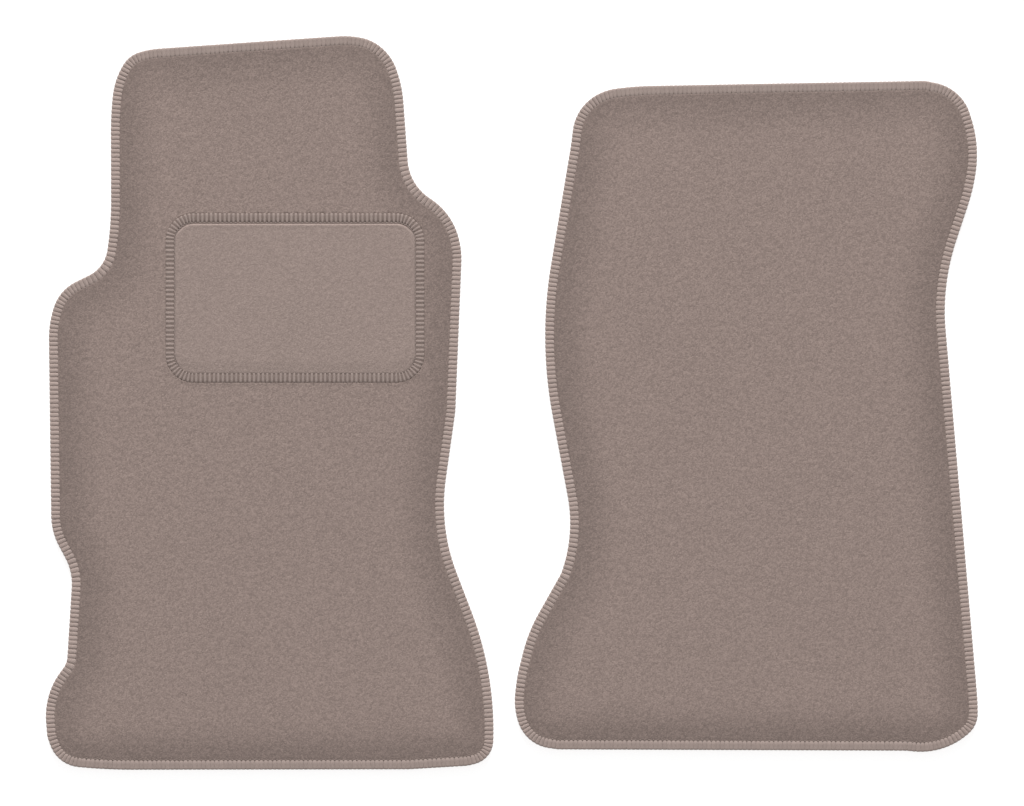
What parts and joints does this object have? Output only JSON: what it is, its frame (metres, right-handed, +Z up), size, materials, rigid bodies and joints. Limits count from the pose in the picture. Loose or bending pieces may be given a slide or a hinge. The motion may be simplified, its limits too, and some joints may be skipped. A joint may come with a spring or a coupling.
{
  "type": "car floor mat set",
  "caption": "Front car floor mats in tufted carpet with overlocked yarn edges, the driver's with a sewn-on heel pad; toe ends bend up to the toe board.",
  "frame": {"origin": "middle of the set's bounding box, on the floor", "axes": "+Z up; +Y towards the mats' toe ends (front of the vehicle); +X to the right, from the driver's mat to the passenger's mat"},
  "size_m": [0.9321, 0.7337, 0.0094],
  "materials": {
    "carpet_pile": "cut velour pile, matt with a soft sheen",
    "heel_pad_pile": "short dense pile, matt",
    "edge_yarn": "thick overlock yarn, slight sheen",
    "pad_border_yarn": "overlock yarn, slight sheen",
    "thread": "twisted sewing thread",
    "scrim": "woven tape yarn",
    "antislip_rubber": "matt, nubbed underside"
  },
  "bodies": {
    "driver_mat": {"driver_antislip_backing": "antislip_rubber", "driver_primary_backing": "scrim", "driver_carpet_pile": "carpet_pile", "driver_edge_yarn": "edge_yarn", "driver_needle_thread": "thread", "heel_pad_backing": "scrim", "heel_pad_pile": "heel_pad_pile", "heel_pad_border_yarn": "pad_border_yarn", "heel_pad_seam_thread": "thread"},
    "driver_toe_end": {"driver_toe_antislip_backing": "antislip_rubber", "driver_toe_primary_backing": "scrim", "driver_toe_carpet_pile": "carpet_pile", "driver_toe_edge_yarn": "edge_yarn", "driver_toe_needle_thread": "thread"},
    "passenger_mat": {"passenger_antislip_backing": "antislip_rubber", "passenger_primary_backing": "scrim", "passenger_carpet_pile": "carpet_pile", "passenger_edge_yarn": "edge_yarn", "passenger_needle_thread": "thread"},
    "passenger_toe_end": {"passenger_toe_antislip_backing": "antislip_rubber", "passenger_toe_primary_backing": "scrim", "passenger_toe_carpet_pile": "carpet_pile", "passenger_toe_edge_yarn": "edge_yarn", "passenger_toe_needle_thread": "thread"}
  },
  "joints": [
    {"name": "driver_toe_bend", "type": "hinge", "parent": "driver_mat", "child": "driver_toe_end", "pos_m": [-0.25, 0.215, 0.0074], "axis": [1, 0, 0], "range_deg": [0, 45]},
    {"name": "passenger_mat_lift", "type": "slide", "parent": "driver_mat", "child": "passenger_mat", "axis": [0, 0, 1], "range_m": [0, 0.3]},
    {"name": "passenger_toe_bend", "type": "hinge", "parent": "passenger_mat", "child": "passenger_toe_end", "pos_m": [0.25, 0.165, 0.0074], "axis": [1, 0, 0], "range_deg": [0, 45]}
  ]
}
